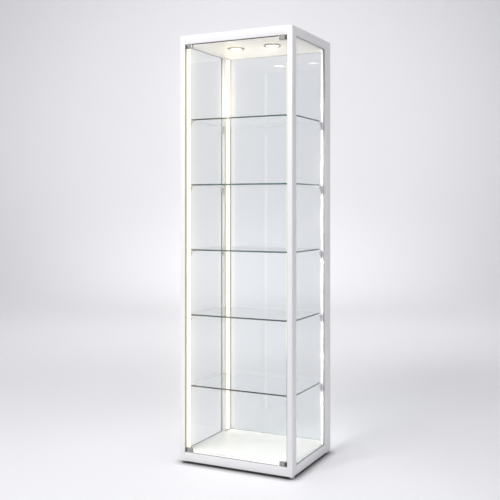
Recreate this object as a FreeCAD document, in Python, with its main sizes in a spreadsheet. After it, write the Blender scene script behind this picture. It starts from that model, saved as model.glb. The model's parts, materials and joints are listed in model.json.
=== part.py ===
"""Glass display tower: a lit showcase with an aluminium frame, a pivoting glass door and glass shelves.

Lengths are in millimetres. +Z is up, +X is to the right and -Y is to the front as one faces the door.
The origin is on the floor under the middle of the case.
"""

import FreeCAD
import Part
import Sketcher
import os

Vector = FreeCAD.Vector

# Driving sizes: name, millimetres, meaning.
SIZES = [
    ("case_width", 500, "overall width"),
    ("case_depth", 410, "overall depth"),
    ("case_height", 1750, "floor to the top of the frame"),
    ("foot_gap", 10, "floor to the underside of the frame"),
    ("post_width", 22, "post, across the front"),
    ("post_depth", 40, "front post, along the side"),
    ("back_post_depth", 64, "back post, along the side"),
    ("rail_height", 36, "height of every rail"),
    ("rail_thickness", 22, "front and back rails, front to back"),
    ("wall", 2, "wall of the hollow profiles"),
    ("groove_centre", 6.5, "outer face to the middle of a pane and of the door"),
    ("groove_width", 7, "glazing groove, across"),
    ("groove_depth", 9, "glazing groove, deep"),
    ("pane_thickness", 5, "panes and door"),
    ("gasket_back", 1.5, "rubber behind the edge of a pane"),
    ("gasket_lip", 1.5, "rubber standing out of the groove"),
    ("seal_lip", 2, "dust seal standing out of the post"),
    ("seal_tip", 3, "dust seal, thickness of its lip"),
    ("panel_fit", 0.4, "gap between a panel and the rails round it"),
    ("ceiling_thickness", 4, "ceiling panel"),
    ("floor_thickness", 6, "floor panel"),
    ("cover_thickness", 3, "top cover"),
    ("cleat_length", 24, "cleat in the end of a rail"),
    ("cleat_fit", 0.1, "gap between a cleat and its rail"),
    ("screw_radius", 2.5, "frame screw, shank"),
    ("screw_head", 4.25, "frame screw, radius of the head"),
    ("screw_head_height", 4, "frame screw, height of the head"),
    ("screw_fit", 0.1, "gap round a screw in its hole"),
    ("spacer_depth", 14, "ceiling spacer, front to back"),
    ("bracket_sheet", 2.5, "sheet of the spacers and floor brackets"),
    ("bracket_length", 30, "spacers and floor brackets, along the rail"),
    ("bracket_leg", 20, "legs of a floor bracket"),
    ("bracket_place", 140, "spacers and brackets from the middle of the case"),
    ("slot_pitch", 24.5, "shelf slots, one to the next"),
    ("slot_width", 3, "shelf slot, across"),
    ("slot_height", 7, "shelf slot, high"),
    ("slot_depth", 5, "shelf slot, deep"),
    ("slot_inset", 4, "inner face of the post to the middle of the slots"),
    ("slot_margin", 30, "first slot above the floor panel"),
    ("shelf_thickness", 6, "glass shelf"),
    ("shelf_side_gap", 0.5, "shelf to the line of the posts' inner faces"),
    ("shelf_end_gap", 12, "shelf to the posts, front and back"),
    ("glass_arris", 0.8, "bevel on the loose glass edges"),
    ("hook_fit", 0.2, "gap round a bracket hook in its slot"),
    ("blade_thickness", 2.6, "shelf bracket blade"),
    ("seat_rise", 8, "upper hook to the underside of the shelf"),
    ("seat_thickness", 2.5, "seat plate of a shelf bracket"),
    ("seat_bearing", 16, "length of seat under the shelf"),
    ("seat_width", 18, "seat plate, across"),
    ("seat_overhang", 2.5, "seat plate outside the blade's middle"),
    ("pad_radius", 5, "shelf pad"),
    ("pad_thickness", 1.5, "shelf pad"),
    ("hinge_gap", 3, "post to the hinge clamps"),
    ("latch_gap", 3, "post to the free edge of the door"),
    ("door_clearance", 8, "door glass to the rails"),
    ("clamp_length", 32, "door clamp, across"),
    ("clamp_thickness", 12, "door clamp, front to back"),
    ("clamp_height", 17, "door clamp, high"),
    ("clamp_fit", 0.2, "gap round the glass in a clamp"),
    ("glass_past_pivot", 5, "door glass beyond the pivot"),
    ("pivot_radius", 3, "door pivot pin"),
    ("pivot_fit", 0.05, "running gap round a pivot pin"),
    ("washer_radius", 5.5, "thrust collar of a pivot pin"),
    ("washer_height", 1.2, "thrust collar of a pivot pin"),
    ("pivot_gap", 0.3, "thrust collar to the clamp"),
    ("set_screw_radius", 2, "clamp set screw"),
    ("set_screw_spacing", 12, "between the two set screws of a clamp"),
    ("magnet_width", 16, "catch magnet, across"),
    ("magnet_height", 12, "catch magnet, high"),
    ("magnet_gap", 0.3, "catch clip to its magnet"),
    ("bar_width", 20, "light bar, along the side"),
    ("bar_gap", 6.5, "door clamps to the front light bars"),
    ("back_bar_place", 24, "back face of the case to the back light bars"),
    ("bar_end_gap", 0.5, "light bar to the floor and ceiling"),
    ("channel_height", 2.4, "light channel, out from the post"),
    ("channel_wall", 1, "light channel wall"),
    ("channel_fit", 0.1, "gap between a light channel and its opal cover"),
    ("opal_height", 5, "opal cover, out from the post"),
    ("opal_wall", 1.5, "opal cover wall"),
    ("opal_round", 2.5, "rounding of an opal cover"),
    ("tape_width", 10, "LED tape"),
    ("tape_thickness", 0.8, "LED tape"),
    ("lamp_place", 84, "downlights to the left and right of the middle"),
    ("lamp_forward", 27, "downlights in front of the middle"),
    ("lamp_ring_radius", 36, "downlight ring"),
    ("lamp_ring_height", 4, "downlight ring below the ceiling"),
    ("lamp_lens_radius", 27, "downlight lens"),
    ("lamp_lens_thickness", 3, "downlight lens"),
    ("lamp_can_radius", 29, "downlight can"),
    ("lamp_can_height", 24, "downlight can"),
    ("lamp_fit", 0.3, "gap round a can and a lens"),
    ("driver_length", 190, "LED driver"),
    ("driver_width", 46, "LED driver"),
    ("driver_height", 22, "LED driver"),
    ("driver_back", 93, "LED driver behind the middle of the case"),
    ("driver_ear", 12, "fixing ear of the driver"),
    ("driver_ear_height", 2, "fixing ear of the driver"),
    ("cable_radius", 1.5, "internal cable"),
    ("cable_bend", 9, "bend of an internal cable"),
    ("cable_fit", 0.5, "gap round a cable in its hole"),
    ("cable_spread", 12, "cables to the left and right of the driver's middle line"),
    ("inlet_radius", 6, "power inlet barrel"),
    ("inlet_length", 15, "power inlet barrel"),
    ("inlet_bore", 2.8, "power inlet socket"),
    ("inlet_bore_depth", 9, "power inlet socket"),
    ("foot_radius", 10.5, "levelling foot"),
    ("foot_height", 7, "levelling foot, pad"),
    ("foot_bevel", 1.5, "levelling foot, edge of the pad"),
    ("foot_neck", 6, "levelling foot, radius of the nut"),
    ("foot_gap_fit", 0.2, "nut of a foot to its insert"),
    ("stud_radius", 4, "levelling foot, stud"),
    ("stud_length", 27, "levelling foot, stud above the frame's underside"),
    ("stud_fit", 0.08, "running gap round a stud"),
    ("insert_length", 25, "threaded insert in a post"),
    ("insert_fit", 0.1, "gap between an insert and its post"),
    ("cap_thickness", 2, "cap on top of a post"),
    ("cap_plug", 8, "plug of a cap inside its post"),
]

# How far up the row of slots each shelf hangs, from the lowest shelf to the highest.
SHELF_SHARES = (0.14, 0.32, 0.49, 0.66, 0.83)

CORNERS = {
    "front_left": (-1, -1),
    "front_right": (1, -1),
    "back_left": (-1, 1),
    "back_right": (1, 1),
}

PLANE_ROLES = {"XY": "XY_Plane", "XZ": "XZ_Plane", "YZ": "YZ_Plane"}


class Size:
    """A length that knows its number and the spreadsheet formula behind it."""

    def __init__(self, value, formula):
        self.value = value
        self.formula = formula

    def __add__(self, other):
        other = as_size(other)
        return Size(self.value + other.value, f"({self.formula} + {other.formula})")

    def __sub__(self, other):
        other = as_size(other)
        return Size(self.value - other.value, f"({self.formula} - {other.formula})")

    def __rsub__(self, other):
        return as_size(other) - self

    def __mul__(self, number):
        return Size(self.value * number, f"({self.formula} * {number})")

    def __truediv__(self, number):
        return Size(self.value / number, f"({self.formula} / {number})")

    def __neg__(self):
        return Size(-self.value, f"(-{self.formula})")


def as_size(number):
    """Return a Size as it is, and a plain number as a Size."""
    return number if isinstance(number, Size) else Size(number, str(number))


def signed(sign, size):
    """Return the size on the positive or the negative side of the middle."""
    return size if sign > 0 else -size


def mean(first, second):
    """Return the size halfway between two sizes."""
    return (first + second) / 2


doc = FreeCAD.newDocument("display_tower")
sheet = doc.addObject("Spreadsheet::Sheet", "Sizes")
nodes = []


class Sizes:
    """The driving sizes, each an attribute under its spreadsheet name."""


s = Sizes()
for row, (alias, number, meaning) in enumerate(SIZES, start=1):
    sheet.set(f"A{row}", meaning)
    sheet.set(f"B{row}", str(number))
    sheet.setAlias(f"B{row}", alias)
    setattr(s, alias, Size(number, f"Sizes.{alias}"))
doc.recompute()

# Levels and lines that several pieces share.
half_width = s.case_width / 2
half_depth = s.case_depth / 2
opening_low = s.foot_gap + s.rail_height
opening_high = s.case_height - s.rail_height
post_inner_x = half_width - s.post_width
front_face = half_depth - s.post_depth
back_face = half_depth - s.back_post_depth
rail_inner_y = half_depth - s.rail_thickness
groove_near = s.groove_centre - s.groove_width / 2
groove_far = s.groove_centre + s.groove_width / 2
cavity_near = groove_far + s.wall
cavity_far = s.post_depth - s.groove_depth - s.wall
ceiling_top = opening_high + s.ceiling_thickness
cover_low = s.case_height - s.cover_thickness
floor_low = opening_low - s.floor_thickness
first_slot = opening_low + s.slot_margin
slot_across = s.post_width - s.slot_inset
clamp_back = s.groove_centre + s.clamp_thickness / 2
front_bar_place = clamp_back + s.bar_gap
door_y = -(half_depth - s.groove_centre)
pivot_x = -(post_inner_x - s.hinge_gap - s.clamp_thickness / 2)
foot_across = s.post_width / 2
foot_along = mean(cavity_near, cavity_far)
lamp_y = -s.lamp_forward
cable_level = ceiling_top + s.driver_height / 2


def bind(thing, prop, size):
    """Tie a property to the spreadsheet."""
    thing.setExpression(prop, as_size(size).formula)


def keep(thing, node):
    """Hand a finished piece in under its node name."""
    thing.Label = node
    nodes.append(thing)
    return thing


def post_depth(side_y):
    """Return the depth of a front or back post."""
    return s.back_post_depth if side_y > 0 else s.post_depth


def inner_face(side_y):
    """Return the distance from the middle of the case to the inner face of a front or back post."""
    return back_face if side_y > 0 else front_face


def corner(side_x, side_y, across, along):
    """Return X and Y of a point given by its distances from the outer faces of a corner."""
    return signed(side_x, half_width - across), signed(side_y, half_depth - along)


def block(name, xs, ys, zs):
    """Add a box that spans three pairs of sizes."""
    box = doc.addObject("Part::Box", name)
    for letter, prop, pair in zip("xyz", ("Length", "Width", "Height"), (xs, ys, zs)):
        low, high = sorted((as_size(end) for end in pair), key=lambda size: size.value)
        bind(box, prop, high - low)
        bind(box, f"Placement.Base.{letter}", low)
    return box


def rod(name, start, axis, radius, length):
    """Add a cylinder from a point along an axis."""
    cylinder = doc.addObject("Part::Cylinder", name)
    cylinder.Placement = FreeCAD.Placement(Vector(), FreeCAD.Rotation(Vector(0, 0, 1), Vector(*axis)))
    bind(cylinder, "Radius", radius)
    bind(cylinder, "Height", length)
    for letter, size in zip("xyz", start):
        bind(cylinder, f"Placement.Base.{letter}", size)
    return cylinder


def joined(name, things):
    """Fuse pieces into one solid."""
    fuse = doc.addObject("Part::MultiFuse", name)
    fuse.Shapes = things
    return fuse


def cut(name, base, tool):
    """Cut one piece out of another."""
    result = doc.addObject("Part::Cut", name)
    result.Base = base
    result.Tool = tool
    return result


def group(name, things):
    """Gather separate solids in one node."""
    compound = doc.addObject("Part::Compound", name)
    compound.Links = things
    return compound


def origin_part(body, role):
    """Return a plane or an axis of the body's own origin."""
    return next(item for item in body.Origin.OriginFeatures if item.Role == role)


def place_point(sketch, geometry, point, across, up):
    """Fix a sketch point at its two sizes from the origin."""
    for kind, axis, size in (("DistanceX", -2, across), ("DistanceY", -1, up)):
        size = as_size(size)
        if size.value == 0:
            sketch.addConstraint(Sketcher.Constraint("PointOnObject", geometry, point, axis))
            continue
        index = sketch.addConstraint(Sketcher.Constraint(kind, -1, 1, geometry, point, size.value))
        bind(sketch, f"Constraints[{index}]", size)


def draw(body, plane, offset=0, outlines=(), circles=()):
    """Sketch closed outlines and circles on one of the body's planes, moved along the plane's normal."""
    sketch = body.newObject("Sketcher::SketchObject", f"{body.Name}_sketch")
    sketch.AttachmentSupport = [(origin_part(body, PLANE_ROLES[plane]), "")]
    sketch.MapMode = "FlatFace"
    bind(sketch, "AttachmentOffset.Base.z", offset)
    for outline in outlines:
        points = [(as_size(across), as_size(up)) for across, up in outline]
        first = sketch.GeometryCount
        for index, (start, end) in enumerate(zip(points, points[1:] + points[:1])):
            ends = [Vector(across.value, up.value, 0) for across, up in (start, end)]
            sketch.addGeometry(Part.LineSegment(*ends))
        for index, (across, up) in enumerate(points):
            following = first + (index + 1) % len(points)
            sketch.addConstraint(Sketcher.Constraint("Coincident", first + index, 2, following, 1))
        for index, (across, up) in enumerate(points):
            place_point(sketch, first + index, 1, across, up)
    for across, up, radius in circles:
        middle = Vector(as_size(across).value, as_size(up).value, 0)
        index = sketch.addGeometry(Part.Circle(middle, Vector(0, 0, 1), radius.value))
        place_point(sketch, index, 3, across, up)
        size = sketch.addConstraint(Sketcher.Constraint("Radius", index, radius.value))
        bind(sketch, f"Constraints[{size}]", radius)
    return sketch


def rectangle(across, up):
    """Return the outline of a rectangle from two pairs of sizes."""
    return [(across[0], up[0]), (across[1], up[0]), (across[1], up[1]), (across[0], up[1])]


def pad(body, sketch, length, both_ways=False):
    """Raise a sketch into a solid."""
    feature = body.newObject("PartDesign::Pad", f"{body.Name}_pad")
    feature.Profile = sketch
    feature.SideType = "Symmetric" if both_ways else "One side"
    bind(feature, "Length", length)
    doc.recompute()
    return feature


def pocket(body, sketch, length, along_normal):
    """Cut a sketch into the solid, along its plane's normal or against it."""
    before = body.Shape.Volume
    feature = body.newObject("PartDesign::Pocket", f"{body.Name}_pocket")
    feature.Profile = sketch
    feature.Reversed = along_normal
    bind(feature, "Length", length)
    doc.recompute()
    if body.Shape.Volume >= before:
        raise ValueError(f"a pocket in {body.Name} cuts nothing")
    return feature


def turned(name, outline):
    """Add a body turned about its own Z axis from an outline of radii and heights."""
    body = doc.addObject("PartDesign::Body", name)
    sketch = draw(body, "XZ", outlines=[outline])
    feature = body.newObject("PartDesign::Revolution", f"{name}_turn")
    feature.Profile = sketch
    feature.ReferenceAxis = (origin_part(body, "Z_Axis"), [""])
    feature.Angle = 360
    doc.recompute()
    return body


def place(thing, x, y, z):
    """Move a body by three sizes."""
    for letter, size in zip("xyz", (x, y, z)):
        bind(thing, f"Placement.Base.{letter}", size)
    return thing


def copy_of(master, name, x, y, z, turn=0):
    """Add a linked copy of a master body, turned about Z."""
    link = doc.addObject("App::Link", name)
    link.setLink(master)
    link.Placement = FreeCAD.Placement(Vector(), FreeCAD.Rotation(Vector(0, 0, 1), turn))
    return place(link, x, y, z)


def bevel_all(body, feature, size):
    """Bevel every edge of a flat piece of glass."""
    bevel = body.newObject("PartDesign::Chamfer", f"{body.Name}_arris")
    bevel.Base = (feature, [f"Edge{index + 1}" for index in range(len(feature.Shape.Edges))])
    bind(bevel, "Size", size)
    doc.recompute()


def make_post(name, side_x, side_y):
    """Extrude a corner post with its glazing grooves, two cavities, shelf slots and screw holes."""
    def at(across, along):
        return corner(side_x, side_y, across, along)

    width, depth, deep = s.post_width, post_depth(side_y), s.groove_depth
    body = doc.addObject("PartDesign::Body", name)
    profile = [
        at(0, 0), at(width, 0), at(width, groove_near), at(width - deep, groove_near),
        at(width - deep, groove_far), at(width, groove_far), at(width, depth), at(groove_far, depth),
        at(groove_far, depth - deep), at(groove_near, depth - deep), at(groove_near, depth), at(0, depth),
    ]
    inner, outer = at(s.wall, cavity_near), at(width - s.wall, depth - deep - s.wall)
    main_cavity = rectangle((inner[0], outer[0]), (inner[1], outer[1]))
    inner, outer = at(s.wall, s.wall), at(width - deep - s.wall, groove_far)
    edge_cavity = rectangle((inner[0], outer[0]), (inner[1], outer[1]))
    sketch = draw(body, "XY", s.foot_gap, [profile, main_cavity, edge_cavity])
    pad(body, sketch, s.case_height - s.cap_thickness - s.foot_gap)

    radius = s.screw_radius + s.screw_fit
    reach = deep + s.wall
    end_y = signed(side_y, half_depth - s.groove_centre)
    end_x = signed(side_x, half_width - s.groove_centre)
    front = side_y < 0
    side_holes = []
    end_holes = []
    for top in (False, True):
        side_holes.append((end_x, rail_level(top, rail_middle(True)), radius))
        end_holes.append((end_y, rail_level(top, rail_middle(not front)), radius))
    pocket(body, draw(body, "YZ", signed(side_x, post_inner_x), circles=end_holes), reach, side_x > 0)
    face = -signed(side_y, inner_face(side_y))
    pocket(body, draw(body, "XZ", face, circles=side_holes), reach, front)

    middle = signed(side_x, half_width - slot_across)
    slot = rectangle((middle - s.slot_width / 2, middle + s.slot_width / 2),
                     (first_slot - s.slot_height / 2, first_slot + s.slot_height / 2))
    first = pocket(body, draw(body, "XZ", face, [slot]), s.slot_depth, front)
    row = body.newObject("PartDesign::LinearPattern", f"{name}_slots")
    row.Originals = [first]
    row.Direction = (origin_part(body, "Z_Axis"), [""])
    row.Mode = "Spacing"
    bind(row, "Offset", s.slot_pitch)
    row.Occurrences = slot_count
    body.Tip = row
    return keep(body, name)


def rail_level(top, inward):
    """Return the Z of a point given by its distance from the outer face of a top or bottom rail."""
    return s.case_height - inward if top else s.foot_gap + inward


def rail_cavity(grooved):
    """Return where the cavity of a rail starts and ends, from the rail's outer face."""
    end = s.rail_height - s.wall
    return s.wall, end - s.groove_depth if grooved else end


def rail_middle(grooved):
    """Return the middle of a rail's cavity, from the rail's outer face."""
    return mean(*rail_cavity(grooved))


def make_rail(name, top, side_x=0, side_y=0):
    """Extrude a rail between two posts, grooved for its pane unless it is at the front."""
    grooved = side_y >= 0
    width = s.rail_thickness if side_y else s.post_width

    def at(across, inward):
        place_across = signed(side_y, half_depth - across) if side_y else signed(side_x, half_width - across)
        return place_across, rail_level(top, inward)

    high = s.rail_height
    outline = [at(0, 0), at(width, 0), at(width, high)]
    if grooved:
        low = high - s.groove_depth
        outline += [at(groove_far, high), at(groove_far, low), at(groove_near, low), at(groove_near, high)]
    outline.append(at(0, high))
    start, end = rail_cavity(grooved)
    near, far = at(s.wall, start), at(width - s.wall, end)
    cavity = rectangle((near[0], far[0]), (near[1], far[1]))
    body = doc.addObject("PartDesign::Body", name)
    if side_y:
        pad(body, draw(body, "YZ", 0, [outline, cavity]), post_inner_x * 2, both_ways=True)
    else:
        middle = (front_face - back_face) / 2
        pad(body, draw(body, "XZ", middle, [outline, cavity]), front_face + back_face, both_ways=True)
    return keep(body, name)


def rail_end(name, top, side_x, side_y, runs_x):
    """Return the cleat and the screw at one end of a rail."""
    grooved = not runs_x or side_y > 0
    start, end = rail_cavity(grooved)
    zs = (rail_level(top, start + s.cleat_fit), rail_level(top, end - s.cleat_fit))
    middle_z = rail_level(top, rail_middle(grooved))
    edge = s.wall + s.cleat_fit
    if runs_x:
        sign, face = side_x, post_inner_x
        across = [signed(side_y, half_depth - d) for d in (edge, s.rail_thickness - edge)]
        middle = signed(side_y, half_depth - s.groove_centre)
    else:
        sign, face = side_y, inner_face(side_y)
        across = [signed(side_x, half_width - d) for d in (edge, s.post_width - edge)]
        middle = signed(side_x, half_width - s.groove_centre)
    inner_end = face - s.cleat_length
    span = (signed(sign, inner_end), signed(sign, face))
    axis = (sign, 0, 0) if runs_x else (0, sign, 0)

    def point(distance):
        along = signed(sign, distance)
        return (along, middle, middle_z) if runs_x else (middle, along, middle_z)

    body = block(f"{name}_block", span if runs_x else across, across if runs_x else span, zs)
    hole = rod(f"{name}_hole", point(inner_end), axis, s.screw_radius + s.screw_fit, s.cleat_length)
    cleat = cut(f"{name}_cleat", body, hole)
    shank = rod(f"{name}_shank", point(inner_end), axis, s.screw_radius,
                s.cleat_length + s.groove_depth + s.wall)
    head = rod(f"{name}_head", point(inner_end - s.screw_head_height), axis, s.screw_head,
               s.screw_head_height)
    return cleat, joined(f"{name}_screw", [shank, head])


def make_pane(name, spans, normal):
    """Make a pane and the gasket round its edge; normal is the axis through the glass."""
    def grown(by, thickness):
        low_high = []
        for axis, (low, high) in enumerate(spans):
            extra = thickness / 2 if axis == normal else by
            low_high.append((low - extra, high + extra))
        return low_high

    bite = s.groove_depth - s.gasket_back
    pane = block(f"{name}_pane", *grown(bite, s.pane_thickness))
    ring = block(f"{name}_ring", *grown(s.groove_depth, s.groove_width))
    sight = block(f"{name}_sight", *grown(-s.gasket_lip, s.groove_width))
    frame = cut(f"{name}_frame", ring, sight)
    keep(pane, f"{name}_pane")
    keep(cut(f"{name}_gasket", frame, pane), f"{name}_gasket")


def make_panel(name, low, thickness, holes=()):
    """Make a flat panel between the rails."""
    wide = post_inner_x - s.panel_fit
    deep = rail_inner_y - s.panel_fit
    body = doc.addObject("PartDesign::Body", name)
    sketch = draw(body, "XY", low, [rectangle((-wide, wide), (-deep, deep))], holes)
    pad(body, sketch, thickness)
    return keep(body, name)


def make_glass(name, xs, ys, zs):
    """Make a loose sheet of glass with bevelled edges."""
    body = doc.addObject("PartDesign::Body", name)
    feature = pad(body, draw(body, "XY", zs[0], [rectangle(xs, ys)]), zs[1] - zs[0])
    bevel_all(body, feature, s.glass_arris)
    return keep(body, name)


def make_bracket(name, hand):
    """Make a shelf bracket with two hooks, a tapered blade and a seat to one side."""
    hook = s.slot_depth - s.hook_fit
    half = s.slot_height / 2 - s.hook_fit
    arm = s.shelf_end_gap + s.seat_bearing
    top = s.seat_rise - s.pad_thickness - s.seat_thickness
    low = -s.slot_pitch
    blade = [
        (-hook, half), (-hook, -half), (0, -half), (0, low + half), (-hook, low + half),
        (-hook, low - half), (0, low - half), (0, low - s.slot_height), (arm, top - s.seat_thickness * 2),
        (arm, top), (0, top), (0, half),
    ]
    body = doc.addObject("PartDesign::Body", name)
    pad(body, draw(body, "YZ", 0, [blade]), s.blade_thickness, both_ways=True)
    outside = signed(hand, -s.seat_overhang)
    inside = signed(hand, s.seat_width - s.seat_overhang)
    seat = rectangle((outside, inside), (s.seat_thickness, arm))
    pad(body, draw(body, "XY", top, [seat]), s.seat_thickness)
    return body


def make_clamp(name, x_from, x_to, top, pivot=None):
    """Make a door clamp round the edge of the glass, bored for a pivot pin if it has one."""
    start = s.washer_height + s.pivot_gap
    radius = s.clamp_thickness / 2
    low = door_level(top, start)
    zs = (low, door_level(top, start + s.clamp_height))
    ends = (x_from + radius, x_to - radius)
    bar = block(f"{name}_bar", ends, (door_y - radius, door_y + radius), zs)
    base = min(zs, key=lambda size: size.value)
    rounds = [rod(f"{name}_end", (x, door_y, base), (0, 0, 1), radius, s.clamp_height) for x in ends]
    solid = joined(f"{name}_solid", [bar] + rounds)
    slot_half = s.pane_thickness / 2 + s.clamp_fit
    slot_start = s.door_clearance - s.clamp_fit
    edge = door_left - s.clamp_fit if pivot else door_right + s.clamp_fit
    slot = block(f"{name}_slot", (edge, x_to if pivot else x_from), (door_y - slot_half, door_y + slot_half),
                 (door_level(top, slot_start), zs[1]))
    tools = [slot]
    for x, y, z in set_screw_points(ends, top):
        tools.append(rod(f"{name}_tap", (x, y, z), (0, 1, 0), s.set_screw_radius + s.pivot_fit, radius))
    if pivot:
        bore = s.pivot_radius + s.pivot_fit
        up = -1 if top else 1
        tools.append(rod(f"{name}_bore", (pivot, door_y, low), (0, 0, up), bore, slot_start - start))
    return keep(cut(name, solid, joined(f"{name}_tools", tools)), name)


def door_level(top, inward):
    """Return the Z of a point given by its distance from the rail above or below the door."""
    return opening_high - inward if top else opening_low + inward


def set_screw_points(ends, top):
    """Return where the two set screws of a clamp meet the back of the glass."""
    z = door_level(top, mean(s.door_clearance, s.washer_height + s.pivot_gap + s.clamp_height))
    y = door_y + s.pane_thickness / 2
    middle = mean(*ends)
    half = s.set_screw_spacing / 2
    return [(middle - half, y, z), (middle + half, y, z)]


def bar_span(side_y):
    """Return where a light bar starts and ends, from the front or back face of the case."""
    start = s.back_bar_place if side_y > 0 else front_bar_place
    return start, start + s.bar_width


def make_light_bar(name, side_x, side_y):
    """Make the channel, tape and opal cover of one corner light bar."""
    def at(out, along):
        return corner(side_x, side_y, s.post_width + out, along)

    low = opening_low + s.bar_end_gap
    length = opening_high - s.bar_end_gap - low
    near, far = bar_span(side_y)
    top, inside = s.opal_height, s.opal_height - s.opal_wall
    cover = [
        at(0, near), at(top, near), at(top, far), at(0, far), at(0, far - s.opal_wall),
        at(inside, far - s.opal_wall), at(inside, near + s.opal_wall), at(0, near + s.opal_wall),
    ]
    opal = doc.addObject("PartDesign::Body", f"{name}_opal_cover")
    feature = pad(opal, draw(opal, "XY", low, [cover]), length)
    outer_edges = []
    for index, edge in enumerate(feature.Shape.Edges, start=1):
        upright = edge.BoundBox.ZLength > length.value / 2
        if upright and abs(edge.CenterOfMass.x - at(top, near)[0].value) < 0.01:
            outer_edges.append(f"Edge{index}")
    fillet = opal.newObject("PartDesign::Fillet", f"{name}_opal_round")
    fillet.Base = (feature, outer_edges)
    bind(fillet, "Radius", s.opal_round)
    doc.recompute()
    keep(opal, f"{name}_opal_cover")

    middle = mean(near, far)
    near, far = near + s.opal_wall + s.channel_fit, far - s.opal_wall - s.channel_fit
    rim, base = s.channel_height, s.channel_wall
    outline = [
        at(0, near), at(rim, near), at(rim, near + base), at(base, near + base),
        at(base, far - base), at(rim, far - base), at(rim, far), at(0, far),
    ]
    channel = doc.addObject("PartDesign::Body", f"{name}_channel")
    pad(channel, draw(channel, "XY", low, [outline]), length)

    near = at(base, middle - s.tape_width / 2)
    far = at(base + s.tape_thickness, middle + s.tape_width / 2)
    tape = block(f"{name}_tape", (near[0], far[0]), (near[1], far[1]), (low, low + length))
    return channel, tape


def make_cable(name, corners):
    """Sweep a round cable through corner points, with an arc at each bend."""
    points = [Vector(*(as_size(size).value for size in corner_point)) for corner_point in corners]
    bend = s.cable_bend.value
    edges = []
    start = points[0]
    for index in range(1, len(points) - 1):
        here = points[index]
        before = (here - points[index - 1]).normalize()
        after = (points[index + 1] - here).normalize()
        enter, leave = here - before * bend, here + after * bend
        centre = enter + after * bend
        middle = centre + (here - centre).normalize() * bend
        edges.append(Part.LineSegment(start, enter).toShape())
        edges.append(Part.Arc(enter, middle, leave).toShape())
        start = leave
    edges.append(Part.LineSegment(start, points[-1]).toShape())
    first = (points[1] - points[0]).normalize()
    ring = Part.Wire(Part.Circle(points[0], first, s.cable_radius.value).toShape())
    cable = doc.addObject("Part::Feature", name)
    cable.Shape = Part.Wire(edges).makePipeShell([ring], True, True)
    return cable


# Frame: posts, rails, cleats and screws.
slot_room = opening_high - s.slot_margin - first_slot
slot_count = int(slot_room.value // s.slot_pitch.value) + 1
for corner_name, (side_x, side_y) in CORNERS.items():
    make_post(f"{corner_name}_post", side_x, side_y)

rails = {}
for level, top in (("top", True), ("bottom", False)):
    for side, side_x, side_y in (("front", 0, -1), ("back", 0, 1), ("left", -1, 0), ("right", 1, 0)):
        rails[level, side] = make_rail(f"{level}_{side}_rail", top, side_x, side_y)

cleats = []
screws = []
for corner_name, (side_x, side_y) in CORNERS.items():
    for top in (False, True):
        for runs_x in (True, False):
            name = f"{corner_name}_{'top' if top else 'bottom'}_{'x' if runs_x else 'y'}"
            cleat, screw = rail_end(name, top, side_x, side_y, runs_x)
            cleats.append(cleat)
            screws.append(screw)
keep(group("corner_cleats", cleats), "corner_cleats")
keep(group("frame_screws", screws), "frame_screws")

# Holes in single rails: the door pivots at the front, the power inlet and its cable at the back.
pivot_hole = [(pivot_x, door_y, s.pivot_radius + s.pivot_fit)]
for level, top, height in (("top", True, opening_high), ("bottom", False, opening_low)):
    body = rails[level, "front"]
    pocket(body, draw(body, "XY", height, circles=pivot_hole), s.wall, top)
inlet_level = rail_level(True, rail_middle(True))
body = rails["top", "back"]
outer_hole = draw(body, "XZ", -half_depth, circles=[(0, inlet_level, s.inlet_radius + s.screw_fit)])
pocket(body, outer_hole, s.wall, True)
inner_hole = draw(body, "XZ", -rail_inner_y, circles=[(0, inlet_level, s.cable_radius + s.cable_fit)])
pocket(body, inner_hole, s.wall, False)

# Panels, with holes in the ceiling for the downlights and for the cables of the light bars.
feed_across = s.post_width + mean(s.channel_wall, s.opal_height)
feed_points = {}
for corner_name, (side_x, side_y) in CORNERS.items():
    feed_points[corner_name] = corner(side_x, side_y, feed_across, mean(*bar_span(side_y)))
ceiling_holes = [(x, y, s.cable_radius + s.cable_fit) for x, y in feed_points.values()]
for side in (-1, 1):
    ceiling_holes.append((signed(side, s.lamp_place), lamp_y, s.lamp_can_radius + s.lamp_fit))
make_panel("ceiling_panel", opening_high, s.ceiling_thickness, ceiling_holes)
make_panel("floor_panel", floor_low, s.floor_thickness)
make_panel("top_cover", cover_low, s.cover_thickness)

# Spacers between the ceiling and the top cover, and brackets under the floor.
spacers = []
brackets = []
sheet_size = s.bracket_sheet
for side_y in (-1, 1):
    def inward(distance):
        return signed(side_y, rail_inner_y - distance)

    reach = s.spacer_depth
    channel = [
        (inward(0), ceiling_top), (inward(reach), ceiling_top), (inward(reach), ceiling_top + sheet_size),
        (inward(sheet_size), ceiling_top + sheet_size), (inward(sheet_size), cover_low - sheet_size),
        (inward(reach), cover_low - sheet_size), (inward(reach), cover_low), (inward(0), cover_low),
    ]
    leg = s.bracket_leg
    angle = [
        (inward(0), floor_low), (inward(leg), floor_low), (inward(leg), floor_low - sheet_size),
        (inward(sheet_size), floor_low - sheet_size), (inward(sheet_size), floor_low - leg),
        (inward(0), floor_low - leg),
    ]
    for side_x in (-1, 1):
        for outline, kind, made in ((channel, "spacer", spacers), (angle, "bracket", brackets)):
            body = doc.addObject("PartDesign::Body", kind)
            pad(body, draw(body, "YZ", signed(side_x, s.bracket_place), [outline]), s.bracket_length, True)
            made.append(body)
keep(group("ceiling_spacers", spacers), "ceiling_spacers")
keep(group("floor_brackets", brackets), "floor_brackets")

# Fixed glazing and the dust seals beside the door.
pane_x = half_width - s.groove_centre
pane_y = half_depth - s.groove_centre
opening_z = (opening_low, opening_high)
make_pane("left", [(-pane_x, -pane_x), (-front_face, back_face), opening_z], 0)
make_pane("right", [(pane_x, pane_x), (-front_face, back_face), opening_z], 0)
make_pane("back", [(-post_inner_x, post_inner_x), (pane_y, pane_y), opening_z], 1)

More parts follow.
